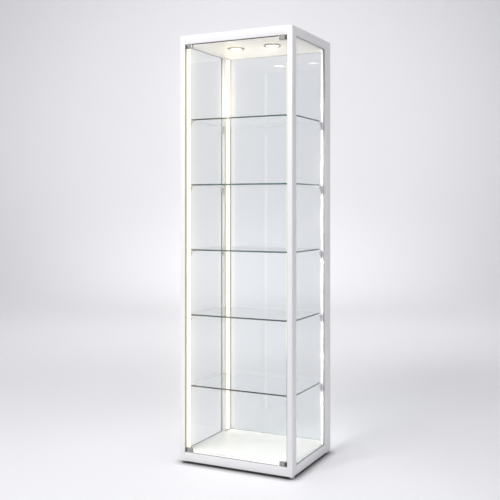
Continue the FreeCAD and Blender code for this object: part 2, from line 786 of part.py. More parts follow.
seals = []
for side_x in (-1, 1):
    def at(across, along):
        return corner(side_x, -1, across, along)

    root = s.post_width - s.groove_depth
    tip = s.post_width + s.seal_lip
    tip_near = s.groove_centre - s.seal_tip / 2
    tip_far = s.groove_centre + s.seal_tip / 2
    outline = [
        at(root, groove_near), at(s.post_width, groove_near), at(s.post_width, tip_near), at(tip, tip_near),
        at(tip, tip_far), at(s.post_width, tip_far), at(s.post_width, groove_far), at(root, groove_far),
    ]
    body = doc.addObject("PartDesign::Body", "dust_seal")
    pad(body, draw(body, "XY", opening_low, [outline]), opening_high - opening_low)
    seals.append(body)
keep(group("dust_seals", seals), "dust_seals")

# Shelves on their brackets and pads.
shelf_x = post_inner_x - s.shelf_side_gap
shelf_ys = (s.shelf_end_gap - front_face, back_face - s.shelf_end_gap)
hands = {1: make_bracket("left_hand_bracket", 1), -1: make_bracket("right_hand_bracket", -1)}
shelf_brackets = []
shelf_pads = []
pad_in = s.seat_width - s.seat_overhang - s.pad_radius
pad_along = s.shelf_end_gap + s.seat_bearing / 2
for number, share in enumerate(SHELF_SHARES, start=1):
    hook_level = first_slot + s.slot_pitch * round(share * (slot_count - 1))
    underside = hook_level + s.seat_rise
    make_glass(f"shelf_{number}", (-shelf_x, shelf_x), shelf_ys, (underside, underside + s.shelf_thickness))
    for side_x, side_y in CORNERS.values():
        x = signed(side_x, half_width - slot_across)
        y = signed(side_y, inner_face(side_y))
        turn = 180 if side_y > 0 else 0
        hand = side_x * side_y
        shelf_brackets.append(copy_of(hands[hand], "shelf_bracket", x, y, hook_level, turn))
        pad_x = signed(side_x, half_width - slot_across - pad_in)
        pad_y = signed(side_y, inner_face(side_y) - pad_along)
        shelf_pads.append(rod("shelf_pad", (pad_x, pad_y, underside - s.pad_thickness), (0, 0, 1),
                              s.pad_radius, s.pad_thickness))
keep(group("shelf_brackets", shelf_brackets), "shelf_brackets")
keep(group("shelf_pads", shelf_pads), "shelf_pads")

# Door: glass, pivot clamps on the left, catch clips on the right, and their pins and magnets on the rails.
door_left = pivot_x - s.glass_past_pivot
door_right = post_inner_x - s.latch_gap
half_glass = s.pane_thickness / 2
make_glass("door_glass", (door_left, door_right), (door_y - half_glass, door_y + half_glass),
           (opening_low + s.door_clearance, opening_high - s.door_clearance))
hinge_start = pivot_x - s.clamp_thickness / 2
set_screws = []
pivots = []
magnets = []
for level, top in (("upper", True), ("lower", False)):
    up = -1 if top else 1
    sides = (
        (f"{level}_hinge_clamp", hinge_start, hinge_start + s.clamp_length, pivot_x),
        (f"{level}_catch_clip", door_right - s.clamp_length, door_right, None),
    )
    for name, x_from, x_to, pivot in sides:
        make_clamp(name, x_from, x_to, top, pivot)
        radius = s.clamp_thickness / 2
        for x, y, z in set_screw_points((x_from + radius, x_to - radius), top):
            set_screws.append(rod("set_screw", (x, y, z), (0, 1, 0), s.set_screw_radius,
                                  radius - half_glass))
    rail_face = door_level(top, 0)
    collar = rod("pivot_collar", (pivot_x, door_y, rail_face), (0, 0, up), s.washer_radius, s.washer_height)
    pin = rod("pivot_pin", (pivot_x, door_y, door_level(top, -s.wall)), (0, 0, up), s.pivot_radius,
              s.wall + s.door_clearance - s.clamp_fit * 4)
    pivots.append(joined("door_pivot", [collar, pin]))
    magnet_x = door_right - s.clamp_length / 2
    magnet_ys = (-(half_depth - clamp_back - s.magnet_gap), -rail_inner_y)
    magnets.append(block("catch_magnet", (magnet_x - s.magnet_width / 2, magnet_x + s.magnet_width / 2),
                         magnet_ys, (rail_face, door_level(top, s.magnet_height))))
keep(group("clamp_screws", set_screws), "clamp_screws")
keep(group("door_pivots", pivots), "door_pivots")
keep(group("catch_magnets", magnets), "catch_magnets")

# Light bars in the four corners.
channels = []
tapes = []
for corner_name, (side_x, side_y) in CORNERS.items():
    channel, tape = make_light_bar(corner_name, side_x, side_y)
    channels.append(channel)
    tapes.append(tape)
keep(group("light_channels", channels), "light_channels")
keep(group("led_tapes", tapes), "led_tapes")

# Ceiling downlights: a ring under the panel, a lens in the ring and a can above.
lens_hole = s.lamp_lens_radius + s.lamp_fit
ring_low = -s.lamp_ring_height
ring_outline = [
    (lens_hole, 0), (lens_hole, ring_low + 1), (lens_hole + 1, ring_low),
    (s.lamp_ring_radius - s.lamp_ring_height / 2, ring_low), (s.lamp_ring_radius, ring_low / 2),
    (s.lamp_ring_radius, 0),
]
lens_outline = [
    (0, -s.lamp_lens_thickness), (s.lamp_lens_radius - 1, -s.lamp_lens_thickness),
    (s.lamp_lens_radius, 1 - s.lamp_lens_thickness), (s.lamp_lens_radius, 0), (0, 0),
]
can_outline = [(0, 0), (s.lamp_can_radius, 0), (s.lamp_can_radius, s.lamp_can_height), (0, s.lamp_can_height)]
rings = []
lenses = []
cans = []
for side in (-1, 1):
    spot = (signed(side, s.lamp_place), lamp_y, opening_high)
    rings.append(place(turned("downlight_ring", ring_outline), *spot))
    lenses.append(place(turned("downlight_lens", lens_outline), *spot))
    cans.append(place(turned("downlight_can", can_outline), *spot))
keep(group("downlight_rings", rings), "downlight_rings")
keep(group("downlight_lenses", lenses), "downlight_lenses")
keep(group("downlight_cans", cans), "downlight_cans")

# Driver, power inlet and cables above the ceiling.
driver_half = s.driver_length / 2
driver_ys = (s.driver_back - s.driver_width / 2, s.driver_back + s.driver_width / 2)
case = block("driver_case", (-driver_half, driver_half), driver_ys,
             (ceiling_top, ceiling_top + s.driver_height))
ears = block("driver_ears", (-driver_half - s.driver_ear, driver_half + s.driver_ear), driver_ys,
             (ceiling_top, ceiling_top + s.driver_ear_height))
keep(joined("led_driver", [case, ears]), "led_driver")

barrel = rod("inlet_barrel", (0, half_depth, inlet_level), (0, -1, 0), s.inlet_radius, s.inlet_length)
socket = rod("inlet_socket", (0, half_depth, inlet_level), (0, -1, 0), s.inlet_bore, s.inlet_bore_depth)
keep(cut("power_inlet", barrel, socket), "power_inlet")

cables = [make_cable("inlet_cable", [(0, half_depth - s.inlet_length, inlet_level), (0, driver_ys[1], inlet_level)])]
lamp_back = lamp_y + s.lamp_can_radius
for side in (-1, 1):
    x = signed(side, s.lamp_place)
    cables.append(make_cable("lamp_cable", [(x, driver_ys[0], cable_level), (x, lamp_back, cable_level)]))
for corner_name, (side_x, side_y) in CORNERS.items():
    x, y = feed_points[corner_name]
    start_y = s.driver_back + signed(side_y, s.cable_spread)
    cables.append(make_cable("light_bar_cable", [
        (signed(side_x, driver_half), start_y, cable_level), (x, start_y, cable_level), (x, y, cable_level),
        (x, y, opening_high - s.bar_end_gap),
    ]))
keep(group("internal_cables", cables), "internal_cables")

# Levelling feet, the inserts that take their studs, and caps on top of the posts.
stud_low = s.foot_gap - s.foot_gap_fit
foot_outline = [
    (0, 0), (s.foot_radius - s.foot_bevel, 0), (s.foot_radius, s.foot_bevel),
    (s.foot_radius, s.foot_height - s.foot_bevel), (s.foot_radius - s.foot_bevel, s.foot_height),
    (s.foot_neck, s.foot_height), (s.foot_neck, stud_low), (s.stud_radius, stud_low),
    (s.stud_radius, s.foot_gap + s.stud_length), (0, s.foot_gap + s.stud_length),
]
inserts = []
caps = []
post_high = s.case_height - s.cap_thickness
for corner_name, (side_x, side_y) in CORNERS.items():
    x, y = corner(side_x, side_y, foot_across, foot_along)
    keep(place(turned(f"{corner_name}_foot", foot_outline), x, y, 0), f"{corner_name}_foot")
    edge = s.wall + s.insert_fit
    near = corner(side_x, side_y, edge, cavity_near + s.insert_fit)
    far = corner(side_x, side_y, s.post_width - edge, cavity_far - s.insert_fit)
    cavity = ((near[0], far[0]), (near[1], far[1]))
    plug = block("insert_plug", *cavity, (s.foot_gap, s.foot_gap + s.insert_length))
    thread = rod("insert_thread", (x, y, s.foot_gap), (0, 0, 1), s.stud_radius + s.stud_fit, s.insert_length)
    inserts.append(cut("foot_insert", plug, thread))
    outer = corner(side_x, side_y, 0, 0)
    inner = corner(side_x, side_y, s.post_width, post_depth(side_y))
    lid = block("cap_lid", (outer[0], inner[0]), (outer[1], inner[1]), (post_high, s.case_height))
    stem = block("cap_stem", *cavity, (post_high - s.cap_plug, post_high))
    caps.append(joined("post_cap", [lid, stem]))
keep(group("foot_inserts", inserts), "foot_inserts")
keep(group("post_caps", caps), "post_caps")

doc.recompute()
for thing in doc.Objects:
    if {"Invalid", "Error"} & set(thing.State):
        raise ValueError(f"{thing.Label} did not compute")
for node in nodes:
    if node.Shape.isNull() or not node.Shape.isValid():
        raise ValueError(f"{node.Label} has no valid shape")

os.makedirs("parts", exist_ok=True)
for node in nodes:
    node.Shape.exportStep(f"parts/{node.Label}.step")
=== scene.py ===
"""Display tower: finishes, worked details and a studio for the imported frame.

Lengths are metres in the frame's own axes: +Z is up, +X is right and -Y is to the front, as one faces
the door.
"""

import json
import math

import bpy
from bpy.props import FloatProperty, FloatVectorProperty, PointerProperty
from bpy.types import Operator, Panel, PropertyGroup
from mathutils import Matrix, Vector

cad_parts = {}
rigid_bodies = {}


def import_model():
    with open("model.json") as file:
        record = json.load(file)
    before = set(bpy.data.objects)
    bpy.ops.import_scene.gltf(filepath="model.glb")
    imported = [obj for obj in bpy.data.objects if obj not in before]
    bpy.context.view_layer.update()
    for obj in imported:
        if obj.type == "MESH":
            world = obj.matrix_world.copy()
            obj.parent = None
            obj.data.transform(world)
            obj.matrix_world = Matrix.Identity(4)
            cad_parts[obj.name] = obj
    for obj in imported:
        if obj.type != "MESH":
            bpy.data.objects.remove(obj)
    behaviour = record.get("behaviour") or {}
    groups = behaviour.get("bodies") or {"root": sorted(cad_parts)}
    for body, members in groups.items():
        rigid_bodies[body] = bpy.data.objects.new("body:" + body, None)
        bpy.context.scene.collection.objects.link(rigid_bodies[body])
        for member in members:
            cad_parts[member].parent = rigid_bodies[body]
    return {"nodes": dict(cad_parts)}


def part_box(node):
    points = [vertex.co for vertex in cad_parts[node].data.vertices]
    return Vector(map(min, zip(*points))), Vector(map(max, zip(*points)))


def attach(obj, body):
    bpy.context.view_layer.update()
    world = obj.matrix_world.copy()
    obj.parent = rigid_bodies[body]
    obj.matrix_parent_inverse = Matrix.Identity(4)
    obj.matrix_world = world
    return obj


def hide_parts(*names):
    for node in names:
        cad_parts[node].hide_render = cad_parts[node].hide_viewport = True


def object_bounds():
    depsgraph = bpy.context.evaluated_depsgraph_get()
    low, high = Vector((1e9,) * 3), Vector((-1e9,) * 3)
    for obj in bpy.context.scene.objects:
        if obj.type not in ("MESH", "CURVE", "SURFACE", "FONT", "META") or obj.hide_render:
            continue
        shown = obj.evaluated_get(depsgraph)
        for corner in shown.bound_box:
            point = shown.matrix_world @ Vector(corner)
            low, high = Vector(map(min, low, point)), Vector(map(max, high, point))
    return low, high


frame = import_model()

bl_info = {
    "name": "Display Tower",
    "version": (1, 0, 0),
    "blender": (4, 5, 0),
    "location": "View3D > Sidebar > Tower",
    "description": "Finishes and studio for a lit glass display tower",
    "category": "Object",
}

CAD_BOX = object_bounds()
NODES = frame["nodes"]
CORNERS = ("front_left", "front_right", "back_left", "back_right")
SIDES = ("front", "back", "left", "right")
SHELVES = [name for name in NODES if name.startswith("shelf_") and name[-1].isdigit()]
RAILS = [f"{level}_{side}_rail" for level in ("top", "bottom") for side in SIDES]
CLAMPS = ("upper_hinge_clamp", "lower_hinge_clamp", "upper_catch_clip", "lower_catch_clip")
# A noise keeps mostly between these two values.
NOISE_LOW = 0.3
NOISE_HIGH = 0.7
# Width of the clouds in a painted or moulded colour.
CLOUD_SIZE = 0.16
# The milky plastic of a lit cover: its grain, its darkest shade and the range of its gloss.
OPAL_GRAIN = 0.004
OPAL_DARK = 0.94
OPAL_GLOSS = (0.34, 0.46)
# Glass: how it bends light, and the smears that dull it a little.
GLASS_IOR = 1.5
SMEAR_SIZE = 0.09
SMEAR_GLOSS = (0.0, 0.012)
# Only what is brighter than the first value glows, and at most as the second would.
GLOW_LOW = 1.1
GLOW_HIGH = 1.7
# The lamps inside the case stand this far off the pieces that seem to shine.
LIGHT_GAP = 0.003
# The lamp before a back post stands this far inward and forward of the middle of the post's front.
POST_LAMP_STEP = (0.016, 0.03)
POST_LAMP_WIDTH = 0.012
POST_LAMP_SHORT = 0.1
# The lamp on the top shelf that lights the ceiling: its middle and its two sides.
BOUNCE_MIDDLE = (-0.06, 0.05)
BOUNCE_SIZE = (0.36, 0.28)
# Radius of the source in a spot, which softens its shadows.
SPOT_RADIUS = 0.4
# The paper stage: corners of its round floor, and steps in the cove.
STAGE_CORNERS = 96
COVE_STEPS = 24
# A dark band round a clamp's end, painted shade for the gap between the clamp and its post, is a little proud
# of the clamp at its sides and short of it at top and bottom.
BAND_WIDTH = 0.008
BAND_PROUD = 0.0002
BAND_SHORT = 0.0008
BAND_ROUND = 0.0004
# The seals over and under the door end short of its clamps and sit a little way into the rails; their dark
# grey is partly their own and partly painted shade for the shadow lines along the rails.
# Their fronts and backs are measured from the front of the rails.
SEAL_GAP = 0.003
SEAL_SEAT = 0.0003
SEAL_FRONT = 0.0004
TOP_SEAL_BACK = 0.0064
TOP_SEAL_TAPER = 0.6
TOP_SEAL_ROUND = 0.0004
SILL_SEAL_BACK = 0.0034
SILL_SEAL_HEIGHT = 0.0012
SILL_SEAL_ROUND = 0.0003
# The caps of the light bars are this tall and stand this far proud of the bars.
END_HEIGHT = 0.005
END_PROUD = 0.0005
END_ROUND = 0.0006
# Only edges longer than this are rounded on the caps of the posts.
CAP_EDGE = 0.01
# Two points this close count as one, and a point this close to a plane lies in it.
NEAR = 0.00001
# An edge of the stage's floor lies below this height.
FLOOR_NEAR = 0.001
# A face whose normal points down at least this much is a lower face.
DOWNWARD = -0.5
# Faces that meet below the first angle become one, and edges below the second are shaded smooth.
FLAT_ANGLE = math.radians(0.5)
SMOOTH_ANGLE = math.radians(35.0)


def colour_prop(name, description, default):
    """Return a colour that a user may change."""
    return FloatVectorProperty(name=name, description=description, subtype="COLOR", size=3,
                               min=0.0, max=1.0, default=default)


def length_prop(name, description, default):
    """Return a length that a user may change."""
    return FloatProperty(name=name, description=description, unit="LENGTH", default=default)


def amount_prop(name, description, default):
    """Return a power or a strength that a user may change."""
    return FloatProperty(name=name, description=description, default=default, min=0.0)


def number_prop(name, description, default):
    """Return a plain number that a user may change."""
    return FloatProperty(name=name, description=description, default=default)


def angle_prop(name, description, degrees):
    """Return an angle that a user may change."""
    return FloatProperty(name=name, description=description, subtype="ANGLE", unit="ROTATION",
                         default=math.radians(degrees))


def place_prop(name, description, default):
    """Return a place that a user may change."""
    return FloatVectorProperty(name=name, description=description, size=3, subtype="TRANSLATION",
                               unit="LENGTH", default=default)


class TowerFinish(PropertyGroup):
    """Colours, gloss and glow of the tower's pieces."""

    frame_white: colour_prop("Frame white", "Powder coat of posts and rails", (0.75, 0.748, 0.76))
    panel_white: colour_prop("Panel white", "Laminate of floor and ceiling", (0.775, 0.757, 0.728))
    glass_face: colour_prop("Glass face", "Tint of the glass seen through its faces", (0.93, 0.95, 0.952))
    glass_edge: colour_prop("Glass edge", "Tint of the glass seen through its edges", (0.10, 0.255, 0.23))
    glass_shade: colour_prop("Glass shade", "Light that each face of the glass lets into a shadow",
                             (0.90, 0.91, 0.91))
    rubber_grey: colour_prop("Rubber", "Glazing gaskets and dust seals", (0.30, 0.31, 0.31))
    rubber_pale: colour_prop("Pale rubber", "Gasket of the back pane", (0.66, 0.66, 0.64))
    pad_clear: colour_prop("Pads", "Soft pads under the shelves", (0.62, 0.65, 0.65))
    clamp_metal: colour_prop("Clamps", "Satin metal of the door clamps", (0.33, 0.33, 0.33))
    # Near-black bands at the clamps' ends are painted shade for the gap between each clamp and its post.
    end_shade_dark: colour_prop("Clamp end shade", "Painted shade at the ends of the clamps", (0.045, 0.045, 0.045))
    # The door seals' dark grey is partly their own and partly painted shade for the shadow lines along the
    # rails.
    seal_and_shade_grey: colour_prop("Door seals and shade", "Seals over and under the door", (0.12, 0.12, 0.115))
    bare_metal: colour_prop("Bare metal", "Unpainted aluminium and steel", (0.66, 0.66, 0.67))
    plated_metal: colour_prop("Plated steel", "Screws, pivots, spacers and floor brackets",
                              (0.58, 0.59, 0.60))
    bar_end_grey: colour_prop("Bar ends", "Caps at the ends of the light bars", (0.42, 0.40, 0.37))
    ring_metal: colour_prop("Lamp rings", "Plated rings of the downlights", (0.36, 0.34, 0.32))
    foot_grey: colour_prop("Feet", "Moulded levelling feet", (0.56, 0.56, 0.57))
    black_plastic: colour_prop("Black plastic", "Power inlet and cables", (0.020, 0.020, 0.021))
    white_plastic: colour_prop("White plastic", "Lamp cans and driver", (0.72, 0.72, 0.70))
    opal_milk: colour_prop("Opal", "Milky plastic of bar covers and lamp lenses", (0.42, 0.415, 0.40))
    tape_yellow: colour_prop("LED tape", "Phosphor of the LED tapes", (0.70, 0.66, 0.42))
    bar_glow: colour_prop("Bar glow", "Light of the corner bars", (1.0, 0.91, 0.71))
    lamp_glow: colour_prop("Lamp glow", "Light of the ceiling lamps", (1.0, 0.93, 0.83))
    bar_strength: amount_prop("Bar strength", "Brightness of the corner bars", 1.35)
    lamp_strength: amount_prop("Lamp strength", "Brightness of the ceiling lamps", 2.0)
    profile_round: length_prop("Profile rounding", "Rounding of posts, rails and caps", 0.0008)
    clamp_round: length_prop("Clamp rounding", "Rounding of the door clamps", 0.0009)
    seal_height: length_prop("Seal height", "Height of the seal over the door", 0.004)
    coat_grain: length_prop("Coat grain", "Size of the powder coat's orange peel", 0.0016)


class TowerStage(PropertyGroup):
    """Camera, lamps and backdrop of the studio."""

    camera_place: place_prop("Camera", "Place of the camera", (1.5095, -3.1157, 1.0539))
    camera_turn: angle_prop("Turn", "Turn of the level camera to the left", 26.331)
    camera_lens: number_prop("Lens", "Focal length in millimetres", 59.43)
    camera_drop: number_prop("Drop", "Vertical shift of the picture", -0.0885)
    floor_radius: length_prop("Floor", "Radius of the round stage", 9.0)
    wall_height: length_prop("Wall", "Height of the stage's rim", 7.0)
    cove_radius: length_prop("Cove", "Rounding between floor and rim", 4.0)
    stage_white: colour_prop("Stage", "Paper of the floor and backdrop", (0.79, 0.786, 0.812))
    shadow_reach: length_prop("Shadow reach", "How far over the paper things still darken it", 0.04)
    shadow_depth: amount_prop("Shadow depth", "How much they darken it", 1.4)
    sky_white: colour_prop("Sky", "Light from above the stage", (1.0, 1.0, 1.0))
    sky_strength: amount_prop("Sky strength", "Brightness of the sky", 0.62)
    key_power: amount_prop("Key power", "Watts of the key light", 180.0)
    key_place: place_prop("Key", "Place of the key light", (-0.7, -4.1, 4.4))
    key_size: length_prop("Key size", "Side of the square key light", 1.8)
    fill_power: amount_prop("Fill power", "Watts of the fill light", 21.0)
    fill_place: place_prop("Fill", "Place of the fill light", (4.6, 1.5, 1.7))
    fill_size: length_prop("Fill size", "Side of the square fill light", 1.6)
    wall_power: amount_prop("Wall power", "Watts of the spot on the backdrop", 545.0)
    wall_place: place_prop("Wall spot", "Place of the spot on the backdrop", (-1.3, 2.6, 4.6))
    wall_aim: place_prop("Wall aim", "Middle of the spot on the backdrop", (-3.7, 7.5, 2.0))
    wall_angle: angle_prop("Wall angle", "Opening of the spot on the backdrop", 92.0)
    pool_power: amount_prop("Pool power", "Watts of the spot on the floor", 79.0)
    pool_place: place_prop("Pool spot", "Place of the spot on the floor", (-0.9, -0.9, 4.6))
    pool_aim: place_prop("Pool aim", "Middle of the spot on the floor", (-0.5, -0.3, 0.0))
    pool_angle: angle_prop("Pool angle", "Opening of the spot on the floor", 46.0)
    far_power: amount_prop("Far power", "Watts of the spot on the floor behind", 295.0)
    far_place: place_prop("Far spot", "Place of the spot on the floor behind", (-1.48, 3.1, 4.6))
    far_aim: place_prop("Far aim", "Middle of the spot on the floor behind", (-1.85, 3.9, 0.0))
    far_angle: angle_prop("Far angle", "Opening of the spot on the floor behind", 90.0)
    left_spill_power: amount_prop("Left spill power", "Watts of the spot at the case's left", 50.0)
    right_spill_power: amount_prop("Right spill power", "Watts of the spot at the case's right", 60.0)
    spill_place: place_prop("Spill spot", "Place of the spot beside the case", (0.8, -0.35, 3.2))
    spill_aim: place_prop("Spill aim", "Middle of the spot beside the case", (0.48, -0.08, 0.0))
    spill_angle: angle_prop("Spill angle", "Opening of the spot beside the case", 24.0)
    image_power: amount_prop("Image power", "Watts of each downlight's image in the panes", 0.045)
    case_light: colour_prop("Case light", "Light inside the case", (1.0, 0.94, 0.85))
    bar_power: amount_prop("Bar power", "Watts that each corner bar sheds", 0.38)
    left_post_power: amount_prop("Left post power", "Watts thrown onto the back left post", 0.08)
    right_post_power: amount_prop("Right post power", "Watts thrown onto the back right post", 0.75)
    bounce_power: amount_prop("Bounce power", "Watts thrown back onto the ceiling", 1.15)
    glow_size: amount_prop("Glow", "Spread of the glow round bright lamps", 0.26)
    glow_tint: colour_prop("Glow tint", "Colour of the glow", (1.0, 0.87, 0.67))
    glow_strength: amount_prop("Glow strength", "Strength of that glow", 7.5)


def start_material(name):
    """Return a new material with its node tree, its shader and its texture coordinates."""
    material = bpy.data.materials.new(name)
    material.use_nodes = True
    tree = material.node_tree
    return material, tree, tree.nodes["Principled BSDF"], tree.nodes.new("ShaderNodeTexCoord")


def noise(tree, place, grain, stretch=(1.0, 1.0, 1.0), detail=2.0):
    """Add a noise whose spots are about one grain wide, stretched along the axes."""
    mapping = tree.nodes.new("ShaderNodeMapping")
    mapping.inputs["Scale"].default_value = [1.0 / (grain * pull) for pull in stretch]
    tree.links.new(place.outputs["Object"], mapping.inputs["Vector"])
    texture = tree.nodes.new("ShaderNodeTexNoise")
    texture.inputs["Scale"].default_value = 1.0
    texture.inputs["Detail"].default_value = detail
    tree.links.new(mapping.outputs["Vector"], texture.inputs["Vector"])
    return texture.outputs["Fac"]


def spread(tree, value, low, high):
    """Map a noise onto a range of numbers."""
    node = tree.nodes.new("ShaderNodeMapRange")
    node.inputs["From Min"].default_value = NOISE_LOW
    node.inputs["From Max"].default_value = NOISE_HIGH
    node.inputs["To Min"].default_value = low
    node.inputs["To Max"].default_value = high
    tree.links.new(value, node.inputs["Value"])
    return node.outputs["Result"]


def shades(tree, value, dark, light):
    """Map a noise onto the shades between two colours."""
    ramp = tree.nodes.new("ShaderNodeValToRGB")
    for element, position, shade in zip(ramp.color_ramp.elements, (NOISE_LOW, NOISE_HIGH), (dark, light)):
        element.position = position
        element.color = (*shade, 1.0)
    tree.links.new(value, ramp.inputs["Fac"])
    return ramp.outputs["Color"]


def relief(tree, shader, height, depth):
    """Raise the surface by a noise."""
    bump = tree.nodes.new("ShaderNodeBump")
    bump.inputs["Distance"].default_value = depth
    tree.links.new(height, bump.inputs["Height"])
    tree.links.new(bump.outputs["Normal"], shader.inputs["Normal"])


def surface(name, colour, roughness, grain, depth, metallic=0.0, vary=0.04, gloss_vary=0.06,
            stretch=(1.0, 1.0, 1.0), cloud=CLOUD_SIZE):
    """Return an opaque finish: cloudy shades of a colour, uneven gloss and a fine relief."""
    material, tree, shader, place = start_material(name)
    clouds = noise(tree, place, cloud, detail=4.0)
    fine = noise(tree, place, grain, stretch)
    dark = [part * (1.0 - vary) for part in colour]
    light = [min(1.0, part * (1.0 + vary)) for part in colour]
    tree.links.new(shades(tree, clouds, dark, light), shader.inputs["Base Color"])
    gloss = spread(tree, fine, roughness - gloss_vary, roughness + gloss_vary)
    tree.links.new(gloss, shader.inputs["Roughness"])
    shader.inputs["Metallic"].default_value = metallic
    relief(tree, shader, fine, depth)
    return material


def glowing(name, colour, glow, strength):
    """Return a lit diffuser: milky plastic with its own light."""
    material, tree, shader, place = start_material(name)
    fine = noise(tree, place, OPAL_GRAIN)
    dark = [part * OPAL_DARK for part in colour]
    tree.links.new(shades(tree, fine, dark, colour), shader.inputs["Base Color"])
    tree.links.new(spread(tree, fine, *OPAL_GLOSS), shader.inputs["Roughness"])
    shader.inputs["Emission Color"].default_value = (*glow, 1.0)
    shader.inputs["Emission Strength"].default_value = strength
    return material


def glass(name, face, edge, shade, axis):
    """Return clear glass for a sheet whose faces look along an axis; its edges show the deeper tint."""
    material, tree, shader, place = start_material(name)
    parts = tree.nodes.new("ShaderNodeSeparateXYZ")
    tree.links.new(place.outputs["Normal"], parts.inputs["Vector"])
    size = tree.nodes.new("ShaderNodeMath")
    size.operation = "ABSOLUTE"
    tree.links.new(parts.outputs[axis], size.inputs[0])
    tint = shades(tree, size.outputs["Value"], edge, face)
    tree.links.new(tint, shader.inputs["Base Color"])
    smear = noise(tree, place, SMEAR_SIZE, detail=3.0)
    tree.links.new(spread(tree, smear, *SMEAR_GLOSS), shader.inputs["Roughness"])
    shader.inputs["Transmission Weight"].default_value = 1.0
    shader.inputs["IOR"].default_value = GLASS_IOR
    clear = tree.nodes.new("ShaderNodeBsdfTransparent")
    clear.inputs["Color"].default_value = (*shade, 1.0)
    path = tree.nodes.new("ShaderNodeLightPath")
    mix = tree.nodes.new("ShaderNodeMixShader")
    tree.links.new(path.outputs["Is Shadow Ray"], mix.inputs["Fac"])
    tree.links.new(shader.outputs["BSDF"], mix.inputs[1])
    tree.links.new(clear.outputs["BSDF"], mix.inputs[2])
    tree.links.new(mix.outputs["Shader"], tree.nodes["Material Output"].inputs["Surface"])
    return material


def coat(material, names):
    """Give carried-over pieces a finish."""
    for name in names:
        slots = NODES[name].data.materials
        slots.clear()
        slots.append(material)


def deselect():
    """Leave nothing selected."""
    bpy.ops.object.select_all(action="DESELECT")


def bevel_edges(piece, width, chosen, segments=2):
    """Round the edges of a piece that a test on their two ends chooses."""
    mesh = piece.data
    bpy.ops.object.mode_set(mode="EDIT")
    bpy.ops.mesh.select_mode(type="EDGE")
    bpy.ops.mesh.select_all(action="DESELECT")
    bpy.ops.object.mode_set(mode="OBJECT")
    for edge in mesh.edges:
        edge.select = chosen(*(mesh.vertices[index].co for index in edge.vertices))
    bpy.ops.object.mode_set(mode="EDIT")
    bpy.ops.mesh.bevel(offset=width, segments=segments, affect="EDGES")
    bpy.ops.object.mode_set(mode="OBJECT")
    bpy.ops.object.shade_smooth_by_angle(angle=SMOOTH_ANGLE)


def outer_edges(low, high):
    """Return a test for edges that lie along the twelve edges of a box."""
    def lies_out(start, end):
        planes = 0
        for axis in range(3):
            for side in (low[axis], high[axis]):
                planes += abs(start[axis] - side) < NEAR and abs(end[axis] - side) < NEAR
        return planes >= 2
    return lies_out


def level_edges(height, least):
    """Return a test for edges of some length that lie at a height."""
    def lies_level(start, end):
        return abs(start.z - height) < NEAR and abs(end.z - height) < NEAR and (end - start).length > least
    return lies_level


def finish_piece(piece, body, material):
    """Give a new piece its body and its finish."""
    piece.data.materials.clear()
    piece.data.materials.append(material)
    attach(piece, body)


def worked_copy(node, body, material, width, chosen):
    """Put a copy with rounded edges in the place of a carried-over piece."""
    deselect()
    source = NODES[node]
    source.select_set(True)
    bpy.context.view_layer.objects.active = source
    bpy.ops.object.duplicate()
    piece = bpy.context.active_object
    piece.name = f"worked_{node}"
    bpy.ops.object.parent_clear(type="CLEAR_KEEP_TRANSFORM")
    for key in list(piece.keys()):
        del piece[key]
    bpy.ops.object.mode_set(mode="EDIT")
    bpy.ops.mesh.select_all(action="SELECT")
    bpy.ops.mesh.remove_doubles(threshold=NEAR)
    bpy.ops.mesh.dissolve_limited(angle_limit=FLAT_ANGLE)
    bpy.ops.object.mode_set(mode="OBJECT")
    bevel_edges(piece, width, chosen)
    finish_piece(piece, body, material)
    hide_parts(node)


def add_block(name, low, high, width, taper=None):
    """Add a block with rounded edges between two corners; a taper scales its lowest face."""
    low, high = Vector(low), Vector(high)
    deselect()
    bpy.ops.mesh.primitive_cube_add(size=1.0, location=(low + high) / 2, scale=high - low)
    block = bpy.context.active_object
    block.name = name
    bpy.ops.object.transform_apply(location=True, rotation=True, scale=True)
    if taper:
        bpy.ops.object.mode_set(mode="EDIT")
        bpy.ops.mesh.select_mode(type="FACE")
        bpy.ops.mesh.select_all(action="DESELECT")
        bpy.ops.object.mode_set(mode="OBJECT")
        for polygon in block.data.polygons:
            polygon.select = polygon.normal.z < DOWNWARD
        bpy.ops.object.mode_set(mode="EDIT")
        bpy.ops.transform.resize(value=(1.0, taper, 1.0))
        bpy.ops.object.mode_set(mode="OBJECT")
    bevel_edges(block, width, lambda start, end: True)
    return block


def join(name, pieces):
    """Make one object of several."""
    deselect()
    for piece in pieces:
        piece.select_set(True)
    bpy.context.view_layer.objects.active = pieces[0]
    bpy.ops.object.join()
    pieces[0].name = name
    return pieces[0]


class TOWER_OT_frame(Operator):
    """Finish the posts, the rails and what holds them together"""

    bl_idname = "tower.frame"
    bl_label = "Frame"

    def execute(self, context):
        finish = context.scene.tower_finish
        white = surface("powder_white", finish.frame_white, roughness=0.42, grain=finish.coat_grain,
                        depth=0.00004, vary=0.015)
        for node in [f"{corner}_post" for corner in CORNERS] + RAILS:
            worked_copy(node, "case", white, finish.profile_round, outer_edges(*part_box(node)))
        caps = surface("cap_white", finish.frame_white, roughness=0.5, grain=0.003, depth=0.00003, vary=0.02)
        cap_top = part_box("post_caps")[1].z
        worked_copy("post_caps", "case", caps, finish.profile_round, level_edges(cap_top, CAP_EDGE))
        metal = surface("raw_aluminium", finish.bare_metal, roughness=0.38, grain=0.0012, depth=0.00002,
                        metallic=1.0, stretch=(1.0, 1.0, 14.0))
        coat(metal, ["corner_cleats", "light_channels", "foot_inserts"])
        steel = surface("plated_steel", finish.plated_metal, roughness=0.3, grain=0.001, depth=0.00001,
                        metallic=1.0)
        coat(steel, ["frame_screws", "ceiling_spacers", "floor_brackets", "clamp_screws", "door_pivots"])
        coat(white, ["shelf_brackets"])
        return {"FINISHED"}


